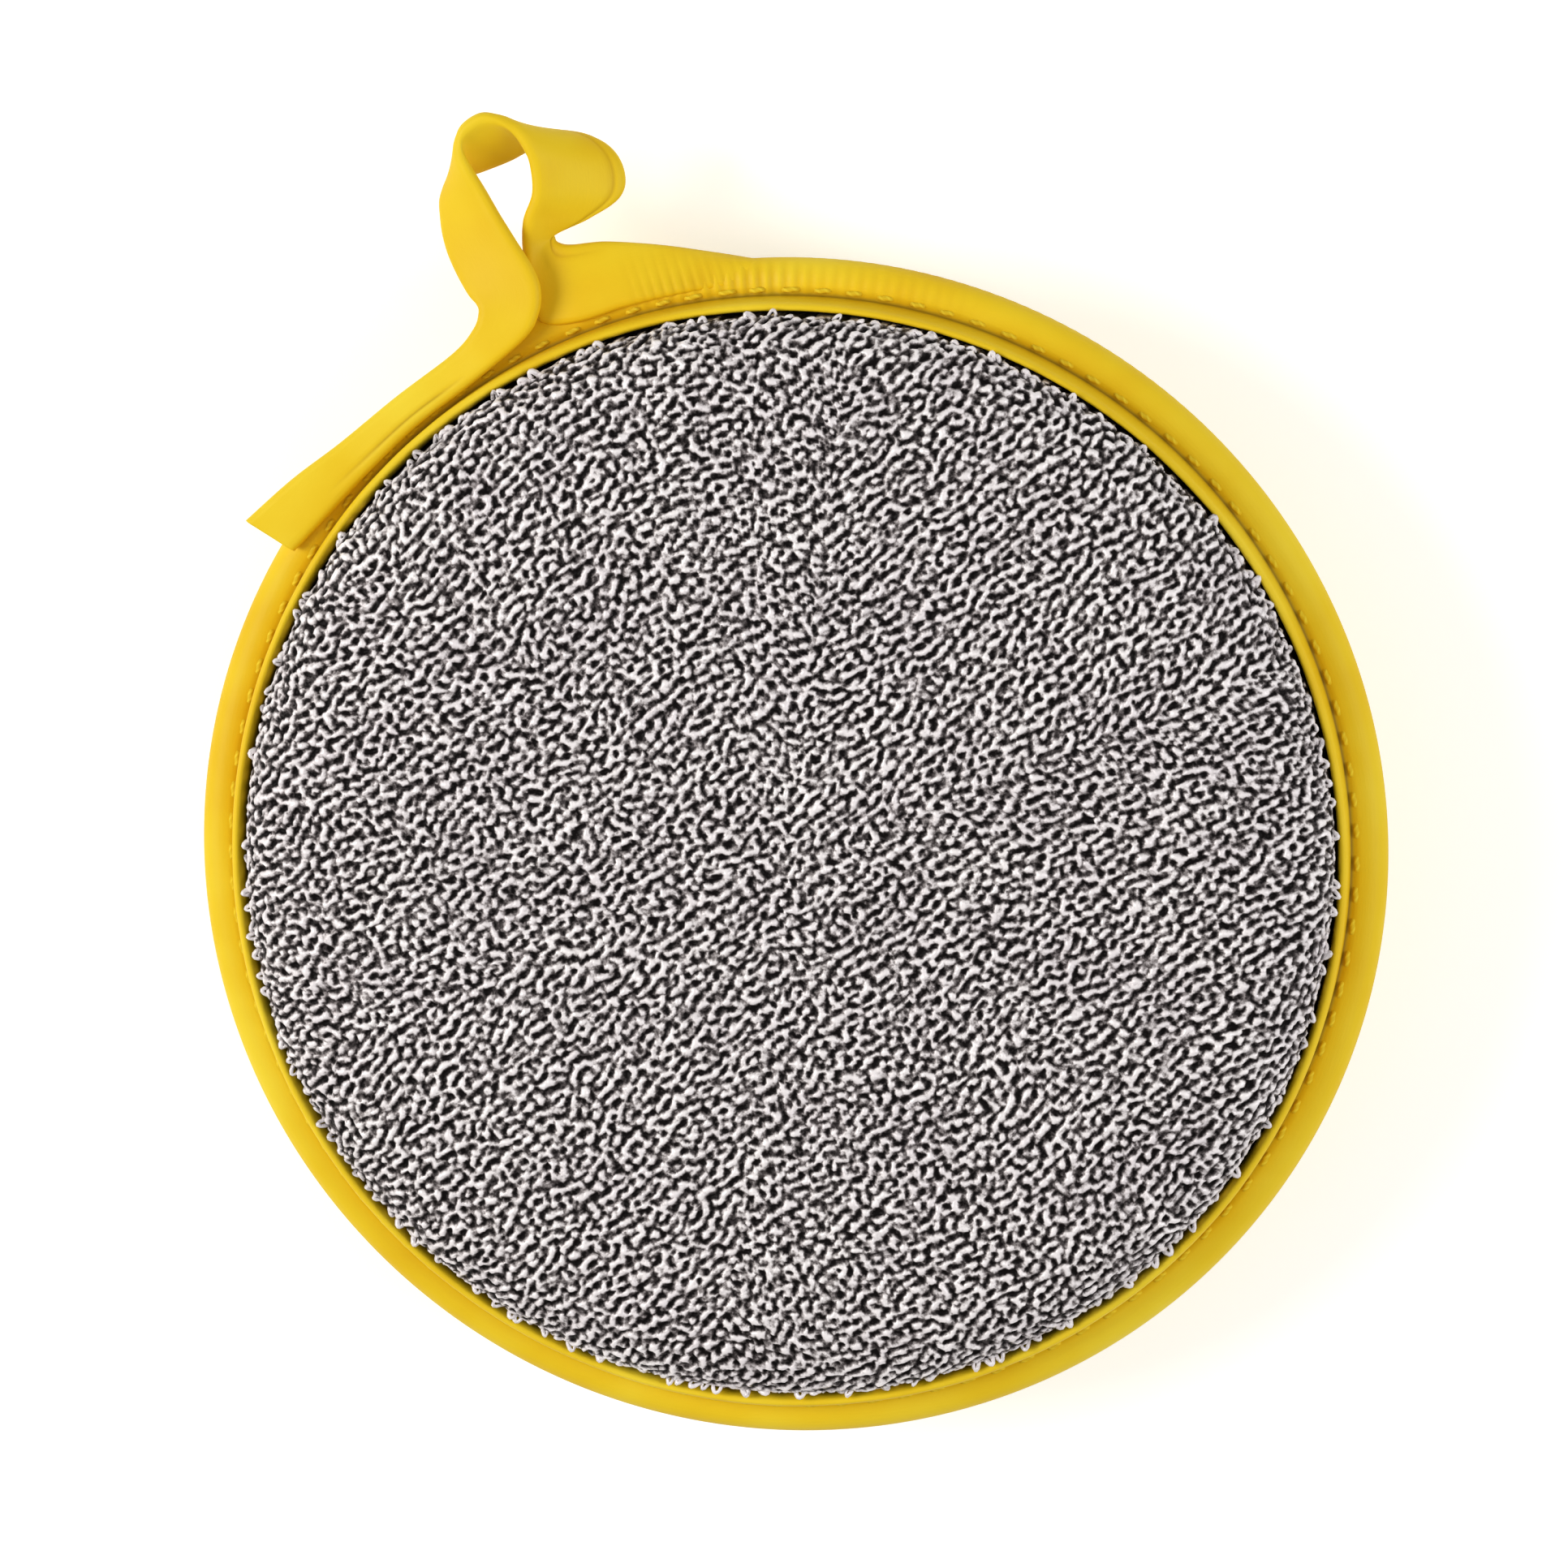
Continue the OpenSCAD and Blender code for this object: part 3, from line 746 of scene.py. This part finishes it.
# Sizes of the scene are in metres, but the camera's sensor is in millimetres
PICTURE_RIGHT = Vector((0.9205, -0.3907, 0))
PICTURE_UP = Vector((0.3907, 0.9205, 0))
TILT = math.radians(9.5)
YAW = math.radians(5.5)
CAMERA_DISTANCE = 1.9
PICTURE_WIDTH = 0.158
SENSOR_WIDTH = 36
FLOOR_HALF = 3
FLOOR_LEVEL = -0.0002
FLOOR_GLOW = 0.36
ROOM_LIGHT = 0.42
SPONGE_MIDDLE = Vector((0, 0, 0.015))

floor_mesh = bpy.data.meshes.new("floor")
floor_corners = [(-FLOOR_HALF, -FLOOR_HALF, FLOOR_LEVEL), (FLOOR_HALF, -FLOOR_HALF, FLOOR_LEVEL),
                 (FLOOR_HALF, FLOOR_HALF, FLOOR_LEVEL), (-FLOOR_HALF, FLOOR_HALF, FLOOR_LEVEL)]
floor_mesh.from_pydata(floor_corners, [], [(0, 1, 2, 3)])
floor = bpy.data.objects.new("floor", floor_mesh)
bpy.context.scene.collection.objects.link(floor)
paper, paper_shader = new_material("pale_floor", 0.9)
paper_shader.inputs["Base Color"].default_value = (0.93, 0.93, 0.915, 1)
paper_shader.inputs["Specular IOR Level"].default_value = 0.1
rays = add_node(paper, "ShaderNodeLightPath")
glow = add_node(paper, "ShaderNodeMath", operation="MULTIPLY")
join(paper, rays.outputs["Is Camera Ray"], glow.inputs[0])
glow.inputs[1].default_value = FLOOR_GLOW
paper_shader.inputs["Emission Color"].default_value = (1, 1, 0.97, 1)
join(paper, glow.outputs["Value"], paper_shader.inputs["Emission Strength"])
floor_mesh.materials.append(paper)

world = bpy.data.worlds.new("room")
world.use_nodes = True
bpy.context.scene.world = world
room_light = world.node_tree.nodes["Background"]
room_light.inputs["Color"].default_value = (1, 1, 0.99, 1)
room_light.inputs["Strength"].default_value = ROOM_LIGHT


def add_lamp(name, place, size, power, colour):
    data = bpy.data.lights.new(name, "AREA")
    data.shape = "DISK"
    data.size = size
    data.energy = power
    data.color = colour
    lamp = bpy.data.objects.new(name, data)
    lamp.location = place
    lamp.rotation_mode = "QUATERNION"
    lamp.rotation_quaternion = (SPONGE_MIDDLE - place).to_track_quat("-Z", "Y")
    bpy.context.scene.collection.objects.link(lamp)


left_lamp_place = PICTURE_UP * 0.1 - PICTURE_RIGHT * 0.74 + Vector((0, 0, 0.6))
right_lamp_place = PICTURE_RIGHT * 0.85 + Vector((0, 0, 0.68))
add_lamp("key", left_lamp_place, 0.55, 5.9, (1, 0.985, 0.95))
add_lamp("fill", right_lamp_place, 0.7, 4.8, (0.98, 0.985, 1))

camera_data = bpy.data.cameras.new("camera")
camera = bpy.data.objects.new("camera", camera_data)
bpy.context.scene.collection.objects.link(camera)
back = (Vector((0, 0, 1)) + PICTURE_UP * math.tan(TILT) + PICTURE_RIGHT * math.tan(YAW)).normalized()
upward = (PICTURE_UP - back * PICTURE_UP.dot(back)).normalized()
aim = PICTURE_UP * 0.0065 - PICTURE_RIGHT * 0.001 + SPONGE_MIDDLE
camera.location = aim + back * CAMERA_DISTANCE
camera_turn = Matrix((upward.cross(back), upward, back)).transposed().to_4x4()
camera.matrix_world = Matrix.Translation(camera.location) @ camera_turn
camera_data.sensor_width = SENSOR_WIDTH
camera_data.lens = SENSOR_WIDTH / (PICTURE_WIDTH / CAMERA_DISTANCE)
camera_data.clip_start, camera_data.clip_end = 0.05, 20
bpy.context.scene.camera = camera
bpy.context.scene.view_settings.view_transform = "Standard"
